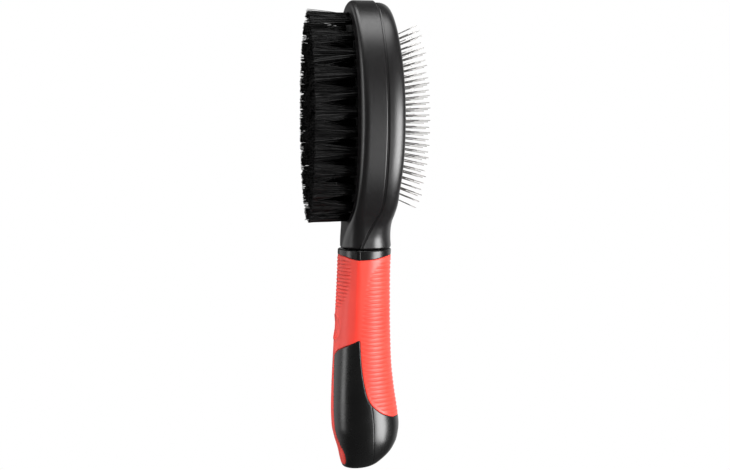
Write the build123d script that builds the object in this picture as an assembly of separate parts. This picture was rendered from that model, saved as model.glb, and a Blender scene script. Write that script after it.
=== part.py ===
from build123d import *
import os
from math import cos, hypot, pi, radians, sin, sqrt

# A double-sided grooming brush. An oval head carries tufts of nylon bristles on one face and
# steel pins, set in a soft domed cushion, on the other. The handle is a hard core in two halves
# with a soft grip moulded into it.
#
# Millimetres. +Z runs up the brush from the end of the handle, -X is the bristle side, +X is the
# pin side, and Y is the width. The origin is under the middle of the brush.

# ---- head ----
head_centre_z = 172.35
head_half_length = 55.95
head_half_width = 32.0
bristle_face_x = -8.6
pin_face_x = 12.9
pin_face_radius = 600.0
seam_x = 3.6
shell_wall = 2.3
pin_side_wall = 3.9
bristle_rim_round = 2.0
pin_rim_round = 3.4

# ---- neck and tang ----
neck_seam_x = -5.0
neck_seam_top_z = 129.0
collar_top_z = 108.8
collar_gap = 0.4
neck_seam_end_z = 110.0
tang_end_z = 72.0
tang_depth = 15.0
tang_width = 16.0
socket_clearance = 0.1
core_axis_x = -0.6
# height, bristle-side x, pin-side x, half width
neck_sections = [
    (collar_top_z + collar_gap, -12.2, 12.6, 12.4),
    (113.9, -11.6, 12.3, 12.8),
    (119.0, -10.5, 12.2, 14.4),
    (125.0, -9.2, 12.3, 17.6),
    (131.0, -8.2, 12.0, 20.4),
    (137.0, -7.4, 11.6, 22.4),
]

# ---- handle ----
grip_thickness = 1.8
handle_sections = [
    (0.0, -9.6, -2.0, 3.4),
    (1.4, -11.2, 3.6, 6.4),
    (4.4, -12.4, 8.3, 9.2),
    (10.0, -13.6, 13.5, 12.0),
    (16.0, -15.4, 16.0, 13.7),
    (22.0, -16.6, 16.7, 14.5),
    (30.0, -16.9, 15.7, 14.8),
    (42.0, -16.6, 13.9, 14.5),
    (54.0, -16.0, 12.7, 14.1),
    (65.0, -15.4, 12.3, 13.7),
    (76.0, -14.8, 12.1, 13.3),
    (87.0, -14.2, 12.1, 13.0),
    (98.0, -13.7, 12.2, 12.9),
    (collar_top_z, -13.3, 12.7, 12.9),
]
collar_side_z = 104.1
collar_face_z = 105.9
hollow_bottom_z = 30.0
hollow_top_z = 64.0
hollow_depth = 15.0
hollow_width = 16.0
half_peg_radius = 2.0
half_peg_length = 5.0
half_peg_heights = (20.0, 68.0)

# hard side panel: its outline seen along Y, between the front strip and the ribbed back
panel_tip = (-5.6, 65.2)
panel_front_top_z = 59.0
front_strip_half_width = 3.0
front_strip_end_z = 4.0
ribbed_back_edge = [(-5.0, 62.0), (-4.6, 50.0), (-2.6, 38.0), (1.6, 31.0), (9.0, 27.4), (20.0, 26.0)]

# ---- ribs on the grip ----
rib_groove_depth = 0.5
rib_groove_height = 0.8
back_rib_pitch = 2.1
back_rib_count = 33
back_rib_bottom_z = 32.0
back_rib_front_x = -2.6
front_rib_pitch = 1.76
front_rib_count = 13
front_rib_bottom_z = 79.6
front_rib_half_width = 9.0

# ---- bristle side ----
bristle_window_half_length = 50.4
bristle_window_half_width = 23.0
plate_clearance = 0.15
plate_face_x = -7.5
plate_back_x = -2.6
plate_flange_margin = 1.9
tip_plane_x = -28.6
tuft_hole_radius = 1.35
tuft_base_radius = 1.25
tuft_tip_radius = 2.4
tuft_bottom_x = -4.6
hole_bottom_x = -3.8
staple_size = (0.7, 2.3, 0.4)
# name, half length, half width, number of tufts
tuft_rings = [
    ("outer", 48.6, 18.8, 24),
    ("middle", 39.6, 12.2, 18),
    ("inner", 30.2, 5.8, 13),
]
centre_tuft_pitch = 9.0
centre_tuft_count = 3
tuft_splay_length = 1.0
tuft_splay_width = 1.035

# ---- pin side ----
pin_window_half_length = 45.5
pin_window_half_width = 23.4
cushion_edge_x = 9.5
cushion_rise = 3.7
cushion_thickness = 1.6
dome_levels = [0.0, 0.35, 0.65, 0.85, 0.99]
cushion_flange = 3.2
tray_floor_front_x = 5.0
tray_floor_back_x = 3.7
tray_margin = 3.9
tray_ring_width = 2.4
tray_post_radius = 2.2
tray_post_places = [(0.0, 26.0), (0.0, -26.0), (12.0, 0.0), (-12.0, 0.0)]
pin_radius = 0.25
pin_length = 16.4
pin_shank = 2.3
pin_head_radius = 0.9
pin_head_thickness = 0.4
pin_hole_radius = 0.32
pin_row_spacing = 3.6
pin_rows = 9
pin_pitch = 5.0
pin_row_bow = 0.35
pin_field_half_length = 38.5
pin_field_half_width = 16.0
pin_fan_length = 25.0
pin_fan_width = 13.0

# ---- pegs that locate the two head shells ----
peg_radius = 1.3
peg_length = 3.0
peg_hole_radius = 1.35
peg_hole_spare = 0.3
peg_boss_radius = 2.2
peg_boss_y = 27.2
notch_clearance = 0.2
neck_peg_y = 7.0
neck_peg_z = 114.5

os.makedirs("parts", exist_ok=True)


def write(name, solids):
    """One STEP for one sub-part, whose repeated pieces stay separate solids."""
    shapes = solids if isinstance(solids, list) else [solids]
    shape = shapes[0] if len(shapes) == 1 else Compound(children=shapes)
    export_step(shape, f"parts/{name}.step")


def oval(half_length, half_width, x_from, x_to):
    """An upright oval plate centred on the head, from one x to another."""
    face_plane = Plane(origin=(x_from, 0, head_centre_z), x_dir=(0, 1, 0), z_dir=(1, 0, 0))
    return extrude(face_plane * Ellipse(half_width, half_length), x_to - x_from)


def side_prism(points, half_width=60.0):
    """A prism whose outline is given as (x, z) points seen along Y."""
    outline = make_face(Polyline([Vector(x, 0, z) for x, z in points], close=True))
    return extrude(outline, half_width, both=True)


def stack(sections, inset=0.0):
    """A smooth body through level elliptical sections, drawn inward by an inset."""
    faces = []
    for z, x_low, x_high, half_width in sections:
        centre = Location(((x_low + x_high) / 2, 0, z))
        half_depth = (x_high - x_low) / 2 - inset
        faces.append(centre * Ellipse(half_depth, half_width - inset))
    return loft(faces)


def section_at(z):
    """The handle's bristle-side x, pin-side x and half width at a height."""
    for low, high in zip(handle_sections, handle_sections[1:]):
        if low[0] <= z <= high[0]:
            t = (z - low[0]) / (high[0] - low[0])
            return [a + (b - a) * t for a, b in zip(low[1:], high[1:])]
    return list(handle_sections[-1][1:])


def head_form():
    """The outside of the head and neck, before it is split into two shells."""
    plate = oval(head_half_length, head_half_width, bristle_face_x, pin_face_x)
    crown_centre = Location((pin_face_x - pin_face_radius, 0, head_centre_z), (90, 0, 0))
    plate = plate & (crown_centre * Cylinder(pin_face_radius, 3 * head_half_width))
    rims = plate.edges().sort_by(Axis.X)
    plate = fillet(rims[0], bristle_rim_round)
    plate = fillet(plate.edges().sort_by(Axis.X)[-1], pin_rim_round)
    return plate + stack(neck_sections)


def head_cavity():
    """The hollow of the head, with the two windows that its faces open through."""
    hollow = oval(
        head_half_length - shell_wall,
        head_half_width - shell_wall,
        bristle_face_x + shell_wall,
        seam_x,
    )
    hollow += oval(
        head_half_length - pin_side_wall,
        head_half_width - pin_side_wall,
        seam_x,
        cushion_edge_x,
    )
    bristle_window = oval(
        bristle_window_half_length, bristle_window_half_width, bristle_face_x - 1, 0
    )
    pin_window = oval(pin_window_half_length, pin_window_half_width, 0, pin_face_x + 1)
    return hollow + bristle_window + pin_window


def tang():
    """The tongue below the neck that plugs into the handle."""
    top = neck_sections[0][0]
    place = Location((core_axis_x, 0, tang_end_z))
    tongue = extrude(place * Ellipse(tang_depth / 2, tang_width / 2), top - tang_end_z)
    return tongue


def bristle_side_space():
    """Everything on the bristle side of the seam, which bends forward down the neck."""
    return side_prism(
        [
            (-60, 240),
            (seam_x, 240),
            (seam_x, neck_seam_top_z),
            (neck_seam_x, neck_seam_end_z),
            (neck_seam_x, collar_top_z - 1),
            (core_axis_x, collar_top_z - 4),
            (core_axis_x, 60),
            (-60, 60),
        ]
    )


def peg(y, z, radius, x_from, x_to):
    """A round peg along X."""
    base = Plane(origin=(x_from, y, z), x_dir=(0, 1, 0), z_dir=(1, 0, 0))
    return extrude(base * Circle(radius), x_to - x_from)


def head_shells():
    """The two halves of the head, each with its half of the neck and of the tang."""
    body = head_form() - head_cavity() + tang()
    space = bristle_side_space()
    bristle_side = body & space
    pin_side = body - space
    for y in (peg_boss_y, -peg_boss_y):
        z = head_centre_z
        bristle_side += peg(y, z, peg_boss_radius, bristle_face_x + shell_wall, seam_x)
        bristle_side += peg(y, z, peg_radius, seam_x, seam_x + peg_length)
        pin_side += peg(y, z, peg_boss_radius, seam_x, cushion_edge_x)
        pin_side -= peg(y, z, peg_hole_radius, seam_x, seam_x + peg_length + peg_hole_spare)
    for y in (neck_peg_y, -neck_peg_y):
        x_end = neck_seam_x + 2 * peg_length
        bristle_side += peg(y, neck_peg_z, peg_radius, neck_seam_x, x_end)
        pin_side -= peg(y, neck_peg_z, peg_hole_radius, neck_seam_x, x_end + peg_hole_spare)
    return bristle_side, pin_side


def boss_notches():
    """The room that the parts between the shells leave around the peg bosses."""
    radius = peg_boss_radius + notch_clearance
    return [
        peg(y, head_centre_z, radius, plate_back_x, pin_face_x) for y in (peg_boss_y, -peg_boss_y)
    ]


def bristle_plate(places):
    """The oval block behind the bristle window, with a hole for each tuft."""
    face = oval(
        bristle_window_half_length - plate_clearance,
        bristle_window_half_width - plate_clearance,
        plate_face_x,
        plate_back_x,
    )
    flange = oval(
        bristle_window_half_length + plate_flange_margin,
        bristle_window_half_width + plate_flange_margin,
        bristle_face_x + shell_wall,
        plate_back_x,
    )
    holes = [peg(y, z, tuft_hole_radius, plate_face_x, hole_bottom_x) for y, z in places]
    return face + flange - holes


def ring_places(half_length, half_width, count):
    """Points spaced evenly along an oval ring, as (y, z) about the head's centre.

    The ring starts a quarter of a space from its top, so that its two flanks are staggered.
    """
    steps = 720
    ring = [
        (half_width * sin(2 * pi * i / steps), half_length * cos(2 * pi * i / steps))
        for i in range(steps + 1)
    ]
    lengths = [0.0]
    for (y0, z0), (y1, z1) in zip(ring, ring[1:]):
        lengths.append(lengths[-1] + hypot(y1 - y0, z1 - z0))
    places = []
    for k in range(count):
        wanted = lengths[-1] * (k + 0.25) / count
        i = next(n for n in range(steps + 1) if lengths[n] >= wanted)
        places.append(ring[i])
    return places


def centre_places():
    """The short line of tufts in the middle of the rings."""
    middle = (centre_tuft_count - 1) / 2
    return [(0.0, (k - middle) * centre_tuft_pitch) for k in range(centre_tuft_count)]


def tuft(y, z):
    """One tuft: a round stem in its hole, flaring and leaning out to the trimmed tip plane."""
    root = Plane(origin=(plate_face_x, y, head_centre_z + z), x_dir=(0, 1, 0), z_dir=(-1, 0, 0))
    tip_y, tip_z = y * tuft_splay_width, z * tuft_splay_length
    tip = Plane(
        origin=(tip_plane_x, tip_y, head_centre_z + tip_z), x_dir=(0, 1, 0), z_dir=(-1, 0, 0)
    )
    flare = loft([root * Circle(tuft_base_radius), tip * Circle(tuft_tip_radius)], ruled=True)
    stem = peg(y, head_centre_z + z, tuft_base_radius, plate_face_x, tuft_bottom_x)
    return flare + stem


def staple(y, z):
    """The flat wire anchor that pins a folded tuft into the bottom of its hole."""
    x = tuft_bottom_x + staple_size[0] / 2
    return Location((x, y, head_centre_z + z)) * Box(*staple_size)


def dome_radius():
    """The radius of the cushion's crown across its width."""
    return (pin_window_half_width**2 + cushion_rise**2) / (2 * cushion_rise)


def dome(edge_x):
    """A shallow oval dome whose edge lies in the plane of the given x."""
    stretch = pin_window_half_length / pin_window_half_width
    faces = []
    for share in dome_levels:
        drop = cushion_rise * (1 - share)
        half_width = sqrt(dome_radius() ** 2 - (dome_radius() - drop) ** 2)
        origin = (edge_x + cushion_rise * share, 0, head_centre_z)
        level = Plane(origin=origin, x_dir=(0, 1, 0), z_dir=(1, 0, 0))
        faces.append(level * Ellipse(half_width, half_width * stretch))
    return loft(faces)


def dome_x(y, z):
    """The height of the cushion's outer face over a point, z counted from the head's centre."""
    across = hypot(y, z * pin_window_half_width / pin_window_half_length)
    return cushion_edge_x + cushion_rise - dome_radius() + sqrt(dome_radius() ** 2 - across**2)


def pin_cushion(places):
    """The domed rubber pad with its clamped flange and a hole for each pin."""
    base_x = cushion_edge_x - cushion_thickness
    margin = 0.15
    rim = oval(
        pin_window_half_length - margin,
        pin_window_half_width - margin,
        base_x,
        cushion_edge_x,
    )
    flange = oval(
        pin_window_half_length + cushion_flange,
        pin_window_half_width + cushion_flange,
        base_x,
        cushion_edge_x,
    )
    skin = dome(cushion_edge_x) + rim + flange
    hollow = oval(
        pin_window_half_length - cushion_thickness,
        pin_window_half_width - cushion_thickness,
        base_x - 1,
        base_x,
    )
    skin = skin - dome(base_x) - hollow
    holes = []
    for y, z in places:
        hole_plane = pin_plane(y, z).offset(-2 * pin_shank)
        holes.append(extrude(hole_plane * Circle(pin_hole_radius), 3 * pin_shank))
    return skin - holes - boss_notches()


def pin_plane(y, z):
    """The plane at the foot of a pin on the cushion, facing along the pin."""
    up = radians(pin_fan_length * z / pin_field_half_length)
    out = radians(pin_fan_width * y / (pin_row_spacing * (pin_rows // 2)))
    direction = Vector(cos(up) * cos(out), cos(up) * sin(out), sin(up))
    foot = (dome_x(y, z), y, head_centre_z + z)
    return Plane(origin=foot, z_dir=direction)


def pin():
    """One wire pin along Z from its flat head behind the cushion to its rounded tip."""
    wire = Location((0, 0, -pin_shank)) * Cylinder(
        pin_radius, pin_shank + pin_length - pin_radius, align=(Align.CENTER, Align.CENTER, Align.MIN)
    )
    tip = Location((0, 0, pin_length - pin_radius)) * Sphere(pin_radius)
    head = Location((0, 0, -pin_shank)) * Cylinder(
        pin_head_radius, pin_head_thickness, align=(Align.CENTER, Align.CENTER, Align.MAX)
    )
    return wire + tip + head


def pin_row_places(row):
    """The feet of one row of pins: every other row is shifted by half a pitch, and the lines
    across the rows bow upwards a little towards the flanks."""
    from_middle = row - pin_rows // 2
    y = from_middle * pin_row_spacing
    reach = pin_field_half_length * sqrt(1 - (y / pin_field_half_width) ** 2)
    shift = abs(from_middle) * pin_row_bow
    if row % 2 == 0:
        shift += pin_pitch / 2
    count = int(pin_field_half_length / pin_pitch) + 1
    heights = [shift + k * pin_pitch for k in range(-count, count + 1)]
    return [(y, z) for z in heights if abs(z) <= reach]


def cushion_tray():
    """The carrier behind the cushion: a floor, a ring that clamps the flange, and four posts."""
    outer = (pin_window_half_length + tray_margin, pin_window_half_width + tray_margin)
    inner = (outer[0] - tray_ring_width, outer[1] - tray_ring_width)
    floor = oval(*outer, tray_floor_back_x, tray_floor_front_x)
    ring = oval(*outer, tray_floor_front_x, cushion_edge_x - cushion_thickness)
    ring -= oval(*inner, tray_floor_front_x, cushion_edge_x)
    tray = floor + ring
    for y, z in tray_post_places:
        tray += peg(y, head_centre_z + z, tray_post_radius, plate_back_x, tray_floor_back_x)
    return tray - boss_notches()


def handle_form(inset=0.0):
    """The outside of the whole handle, or a smaller form inside it."""
    return stack(handle_sections, inset)


def collar_space():
    """The band at the mouth of the handle, deeper at the sides than at the two faces."""
    top = collar_top_z + 1
    return side_prism(
        [(-30, top), (-30, collar_face_z), (neck_seam_x, collar_side_z), (30, collar_face_z), (30, top)]
    )


def hard_panel_space():
    """The side areas and the end of the handle where the hard core comes to the surface."""
    outline = [(-30, panel_front_top_z - 9), panel_tip] + ribbed_back_edge + [(30, 26), (30, -5), (-30, -5)]
    return side_prism(outline)


def front_strip_space():
    """The narrow strip down the bristle-side face, rounded at its lower end."""
    plane = Plane(origin=(-30, 0, 0), x_dir=(0, 1, 0), z_dir=(1, 0, 0))
    low = front_strip_end_z + front_strip_half_width
    high = panel_front_top_z + 4
    bar = Pos(0, (low + high) / 2) * Rectangle(2 * front_strip_half_width, high - low)
    end = Pos(0, low) * Circle(front_strip_half_width)
    return extrude(plane * (bar + end), 30 + core_axis_x - 8)


def rib_grooves():
    """Level grooves across the grip's back and across the top of its front."""
    grooves = []
    rows = [(back_rib_bottom_z + k * back_rib_pitch, "back") for k in range(back_rib_count)]
    rows += [(front_rib_bottom_z + k * front_rib_pitch, "front") for k in range(front_rib_count)]
    for z, side in rows:
        x_low, x_high, half_width = section_at(z)
        place = Location(((x_low + x_high) / 2, 0, z))
        half_depth = (x_high - x_low) / 2
        ring = Ellipse(half_depth + 2, half_width + 2)
        ring -= Ellipse(half_depth - rib_groove_depth, half_width - rib_groove_depth)
        groove = extrude(place * ring, rib_groove_height)
        if side == "back":
            keep = Location((back_rib_front_x + 30, 0, z)) * Box(60, 60, 4)
        else:
            keep = Location((-20, 0, z)) * Box(30, 2 * front_rib_half_width, 4)
        grooves.append(groove & keep)
    return grooves


def handle_parts():
    """The two halves of the hard core and the soft grip moulded over them."""
    form = handle_form()
    skin = form - handle_form(grip_thickness)
    grip = skin - collar_space() - (hard_panel_space() - front_strip_space())
    core = form - grip
    grip -= rib_grooves()
    socket_end = tang_end_z - 0.5
    socket = extrude(
        Location((core_axis_x, 0, socket_end))
        * Ellipse(tang_depth / 2 + socket_clearance, tang_width / 2 + socket_clearance),
        collar_top_z + 1 - socket_end,
    )
    hollow = extrude(
        Location((core_axis_x, 0, hollow_bottom_z)) * Ellipse(hollow_depth / 2, hollow_width / 2),
        hollow_top_z - hollow_bottom_z,
    )
    core = core - socket - hollow
    bristle_space = Location((core_axis_x - 50, 0, 50)) * Box(100, 100, 200)
    bristle_half = core & bristle_space
    pin_half = core - bristle_space
    for z in half_peg_heights:
        reach = core_axis_x + half_peg_length
        bristle_half += peg(0, z, half_peg_radius, core_axis_x - 1, reach)
        pin_half -= peg(0, z, half_peg_radius + 0.05, core_axis_x, reach + 0.2)
    return bristle_half, pin_half, grip


def main():
    bristle_shell, pin_shell = head_shells()
    write("head_shell_bristle_side", bristle_shell)
    write("head_shell_pin_side", pin_shell)

    groups = [(f"tufts_{name}_ring", ring_places(*ring)) for name, *ring in tuft_rings]
    groups.append(("tufts_centre_line", centre_places()))
    all_tufts = []
    for name, places in groups:
        write(name, [tuft(y, z) for y, z in places])
        all_tufts += places
    write("bristle_plate", bristle_plate([(y, head_centre_z + z) for y, z in all_tufts]))
    write("tuft_anchor_staples", [staple(y, z) for y, z in all_tufts])

    one_pin = pin()
    all_pins = []
    for row in range(pin_rows):
        places = pin_row_places(row)
        pins = [pin_plane(y, z).location * one_pin for y, z in places]
        write(f"pin_row_{row + 1}", pins)
        all_pins += places
    write("pin_cushion", pin_cushion(all_pins))
    write("cushion_tray", cushion_tray())

    bristle_half, pin_half, grip = handle_parts()
    write("handle_core_bristle_half", bristle_half)
    write("handle_core_pin_half", pin_half)
    write("handle_grip", grip)


main()
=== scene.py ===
import math
import random

import bmesh
import bpy
import numpy as np
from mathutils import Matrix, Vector


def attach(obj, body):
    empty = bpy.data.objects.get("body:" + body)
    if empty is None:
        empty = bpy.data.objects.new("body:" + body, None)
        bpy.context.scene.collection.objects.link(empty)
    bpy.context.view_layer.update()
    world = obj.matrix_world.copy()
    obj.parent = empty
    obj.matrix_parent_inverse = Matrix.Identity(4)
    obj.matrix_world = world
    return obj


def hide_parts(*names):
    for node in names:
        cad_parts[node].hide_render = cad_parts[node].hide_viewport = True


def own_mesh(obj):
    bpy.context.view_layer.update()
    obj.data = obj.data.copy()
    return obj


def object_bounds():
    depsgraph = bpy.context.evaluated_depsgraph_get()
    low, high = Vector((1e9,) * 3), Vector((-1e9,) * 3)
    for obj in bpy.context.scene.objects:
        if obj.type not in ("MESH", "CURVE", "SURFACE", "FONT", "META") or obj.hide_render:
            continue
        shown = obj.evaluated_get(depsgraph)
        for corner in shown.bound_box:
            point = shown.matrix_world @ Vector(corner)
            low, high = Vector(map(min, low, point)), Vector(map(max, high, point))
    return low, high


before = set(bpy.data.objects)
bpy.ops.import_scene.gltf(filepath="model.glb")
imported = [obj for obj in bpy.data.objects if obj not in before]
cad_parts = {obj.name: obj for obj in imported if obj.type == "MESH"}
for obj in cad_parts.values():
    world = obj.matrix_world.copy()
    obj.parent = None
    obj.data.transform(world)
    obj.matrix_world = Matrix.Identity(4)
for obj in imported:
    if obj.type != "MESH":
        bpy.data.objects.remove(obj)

# The finish of a double-sided grooming brush. Lengths are millimetres until a mesh is made.
# +Z runs up the brush, -X is the bristle side, +X is the pin side and Y is the width.

cad_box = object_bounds()
MM = 0.001

# ---- head ----
HEAD_Z = 172.35
HEAD_HALF_LENGTH = 55.95
HEAD_HALF_WIDTH = 32.0
# how much shorter and narrower the pin shell's outline is, growing up to this cosine
PIN_SHELL_STEP = (0.95, 0.45)
PIN_SHELL_STEP_COSINE = 0.3
BRISTLE_WINDOW = (50.4, 23.0)
PIN_WINDOW = (45.5, 23.4)
BRISTLE_FACE_X = -8.6
PIN_FACE_X = 13.0
PIN_FACE_RADIUS = 600.0
SEAM_X = 3.6
NECK_SEAM_X = -5.0
NECK_SEAM_FROM_Z = 97
OVAL_END_Z = 137.0
# the angle round the window, from its top, that faces the end of the oval
OVAL_END_TURN = 143
WINDOW_JOIN_Z = 118.0
NECK_END_Z = 109.4
SHELL_WALL = 1.7
WINDOW_LIP = 0.5
WINDOW_WALL_DEPTH = 2.2
SIDE_WALL_REACH = 16.0
# a rounded edge is given as how deep it sinks and how wide it is
NECK_END_EDGE = (0.45, 0.7)
FRONT_SEAM_EDGE = (0.4, 0.4)
BACK_SEAM_EDGE = (0.3, 0.18)
SEAM_LIP_DROP = 0.26
SEAM_LIP_SPAN = (0.7, 1.1)
# a section's turn of one radian counts as this length when its points are spread
BEND_WEIGHT = 1.6
# how far from the seam the first points of each shell's section lie
FRONT_SEAM_MARKS = np.array([0.05, 0.15, 0.28, 0.42, 0.7, 1.2])
BACK_SEAM_MARKS = np.array([0.05, 0.12, 0.2, 0.45, 0.7, 0.82, 0.96, 1.1, 1.4])

# ---- handle ----
COLLAR_TOP_Z = 108.8
CORE_SEAM_X = -0.6
GRIP_WALL = 1.5
CORE_WALL = 2.4
TANG_HALF = (7.5, 8.0)
TANG_SIDES = 40
TANG_ENDS = (72.0, 112.5)
CHART_RADIUS = 14.4
# height, bristle-side x, pin-side x, half width
HANDLE_SECTIONS = [
    (0.0, -5.8, -5.8, 0.0),
    (1.4, -11.2, 3.6, 6.4),
    (4.4, -12.4, 8.3, 9.2),
    (10.0, -13.6, 13.5, 12.0),
    (16.0, -15.4, 16.0, 13.7),
    (22.0, -16.6, 16.7, 14.5),
    (30.0, -16.9, 15.7, 14.8),
    (42.0, -16.6, 13.9, 14.5),
    (54.0, -16.0, 12.7, 14.1),
    (65.0, -15.4, 12.3, 13.7),
    (76.0, -14.8, 12.1, 13.3),
    (87.0, -14.2, 12.1, 13.0),
    (98.0, -13.7, 12.2, 12.9),
    (COLLAR_TOP_Z, -13.3, 12.7, 12.9),
]
BACK_RIB_PITCH = 2.1
FRONT_RIB_PITCH = 1.76
BACK_RIB_START_Z = 31.2
FRONT_RIB_START_Z = 80.4
FRONT_RIB_RANGE = (79.5, 105.2)
RIB_RISE = 0.12
RIB_GROOVE = 0.56
RIB_FLATNESS = 0.42
RIB_FADE = 0.8
RIB_FREE_EDGE = 1.0
RIDGE_ANGLE = 113
RIDGE_SPREAD = 8.5
RIDGE_RISE = 0.38
RIDGE_FADE_Z = (58, 74)
PAD_Z = 70.5
PAD_HALF = (7.4, 6.6)
# the ring and the recess's edge, as shares of the pad's half size
PAD_RING = (0.94, 0.07)
PAD_EDGE = (0.68, 0.88)
PAD_RING_RISE = 0.28
PAD_DEPTH = 0.4
COLLAR_ROUND = 0.6
GRIP_EDGE = (0.42, 0.5)
CORE_EDGE = (0.3, 0.3)
CORE_GROOVE = (0.1, 0.2)
# where the mesh is cut beside each edge; the cut at 0 parts the pieces
GRIP_EDGE_CUTS = (-0.3, -0.12, 0.0, 0.1, 0.25, 0.5)
CORE_SEAM_CUTS = (-0.2, -0.06, 0.0, 0.06, 0.2)
RIB_ROW_STEP = 0.262
HANDLE_COLUMNS = 133

# ---- bristles ----
TUFT_ROOT_X = -7.5
TUFT_ROOT_DEPTH = 0.4
TIP_PLANE_X = -28.35
TUFT_RINGS = {
    "tufts_outer_ring": (48.6, 18.8, 24),
    "tufts_middle_ring": (39.6, 12.2, 18),
    "tufts_inner_ring": (30.2, 5.8, 13),
}
CENTRE_TUFTS = [(0.0, -9.0), (0.0, 0.0), (0.0, 9.0)]
TUFT_SPLAY = (1.035, 1.02)
TRIMMED_FIELD = (20.3, 50.6)
FILAMENTS_PER_TUFT = 100
FILAMENT_RADIUS = 0.16
FILAMENT_TAPER = 0.12
TUFT_ROOT_RADIUS = 1.9
TUFT_TIP_SPREAD = 4.9
# a tuft spreads less across the brush than along it
TUFT_TIP_NARROWING = 0.68
TUFT_TWIST = 0.12
TUFT_SPREAD_RANGE = (0.8, 1.12)
TUFT_SPREAD_LIMIT = 1.05
TRIMMED_EDGE_UNEVENNESS = (0.965, 1.0)
TIP_UNEVENNESS = (-0.2, 0.45)
FILAMENT_BOW = 0.22
STRAY_SHARE = 0.03
STRAY_SPREAD = (1.2, 2.4)
BRISTLE_SEED = 41

# ---- light ----
# each card: (azimuth, half turn), (lowest, highest elevation), radiance, softness of its edge;
# angles are in degrees, and azimuth runs from -Y towards +X
LIGHT_CARDS = [
    ((45, 16), (-33, 7), 17.5, 6),
    ((-84, 6), (-22, 25), 5.5, 5),
    ((-125, 20), (-30, 30), 1.2, 14),
    ((135, 22), (-25, 40), 0.8, 16),
    ((-25, 110), (55, 89), 6.0, 7),
]
FILL_LIGHT = 0.1

# ---- floor and camera, in metres and degrees, with the lens in millimetres ----
FLOOR_HALF = 12.0
CAMERA_AZIMUTH = -13
CAMERA_ELEVATION = 5.5
CAMERA_DISTANCE = 0.7
CAMERA_TARGET = (0, 0, 0.1152)
CAMERA_LENS = 70.84
CAMERA_SENSOR = 36.0

# ---- cushion and pins ----
CUSHION_EDGE_X = 9.5
CUSHION_RISE = 3.7
PIN_ROWS = 9
PIN_ROW_SPACING = 3.6
PIN_PITCH = 5.0
PIN_ROW_BOW = 0.35
PIN_FIELD = (38.5, 16.0)
CUSHION_CLEARANCE = 0.2
CUSHION_THICKNESS = 1.4
CUSHION_SKIRT = (0.3, 0.8)
CUSHION_UNDERSIDE_WIDTH = 0.97
DIMPLE_DEPTH = 0.3
DIMPLE_RADIUS = 0.75
# the pins' painted shade near the cushion turns into a painted highlight between these x values, in
# metres
PIN_PAINTED_LIGHT_X = (0.0215, 0.0235)


# ---------------------------------------------------------------- numbers and meshes


def smooth_curve(knots):
    """A smooth curve through (input, output) pairs that never overshoots them."""
    x, y = np.array(sorted(knots), float).T
    step = np.diff(x)
    slope = np.diff(y) / step
    bend = slope[:-1] * slope[1:]
    total = slope[:-1] + slope[1:]
    inner = np.where(bend > 0, 2 * bend / np.where(total == 0, 1, total), 0)
    tangent = np.concatenate([slope[:1], inner, slope[-1:]])

    def value(at):
        at = np.clip(np.asarray(at, float), x[0], x[-1])
        i = np.clip(np.searchsorted(x, at, side="right") - 1, 0, len(step) - 1)
        t = (at - x[i]) / step[i]
        start = (1 + 2 * t) * (1 - t) ** 2 * y[i] + t * (1 - t) ** 2 * step[i] * tangent[i]
        end = t * t * (3 - 2 * t) * y[i + 1] + t * t * (t - 1) * step[i] * tangent[i + 1]
        return start + end

    return value


def smooth_step(value, low, high):
    """0 below low, 1 above high, and an even turn between them."""
    t = np.clip((value - low) / (high - low), 0, 1)
    return t * t * (3 - 2 * t)


def edge_round(distance, edge):
    """The lift, 0 or less, at a distance from a rounded edge of a given depth and width."""
    depth, width = edge
    return -depth * (1 - np.clip(distance / width, 0, 1)) ** 2


def outline_distance(u, v, outline):
    """Signed distance from points to a closed outline, positive outside."""
    best = np.full(u.shape, 1e9)
    inside = np.zeros(u.shape, bool)
    for (u0, v0), (u1, v1) in zip(outline, np.roll(outline, -1, axis=0)):
        du, dv = u1 - u0, v1 - v0
        along = np.clip(((u - u0) * du + (v - v0) * dv) / (du * du + dv * dv + 1e-12), 0, 1)
        best = np.minimum(best, np.hypot(u - u0 - along * du, v - v0 - along * dv))
        if dv != 0:
            crosses = (v0 > v) != (v1 > v)
            inside ^= crosses & (u < u0 + (v - v0) / dv * du)
    return np.where(inside, -best, best)


def split_chart(points, faces, field, level):
    """Cuts the faces of a flat chart along the line where a field takes a level."""
    values = field(points[:, 0], points[:, 1]) - level
    values = np.where(np.abs(values) < 1e-6, 1e-6, values)
    above = values > 0
    points = list(map(tuple, points))
    cuts = {}
    result = []

    def cut(a, b):
        key = (min(a, b), max(a, b))
        if key not in cuts:
            t = values[a] / (values[a] - values[b])
            cuts[key] = len(points)
            pa, pb = points[a], points[b]
            points.append((pa[0] + (pb[0] - pa[0]) * t, pa[1] + (pb[1] - pa[1]) * t))
        return cuts[key]

    for face in faces:
        sides = [above[i] for i in face]
        if all(sides) or not any(sides):
            result.append(face)
            continue
        parts = {True: [], False: []}
        for k, a in enumerate(face):
            b = face[(k + 1) % len(face)]
            parts[bool(above[a])].append(a)
            if above[a] != above[b]:
                c = cut(a, b)
                parts[True].append(c)
                parts[False].append(c)
        result += [tuple(p) for p in parts.values() if len(p) > 2]
    return np.array(points), result


def grid_faces(rows, columns, flip=False):
    """Quads over a grid of rows and columns."""
    faces = []
    for r in range(rows - 1):
        for c in range(columns - 1):
            a, b = r * columns + c, r * columns + c + 1
            face = (a, b, b + columns, a + columns)
            faces.append(face[::-1] if flip else face)
    return faces


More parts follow.
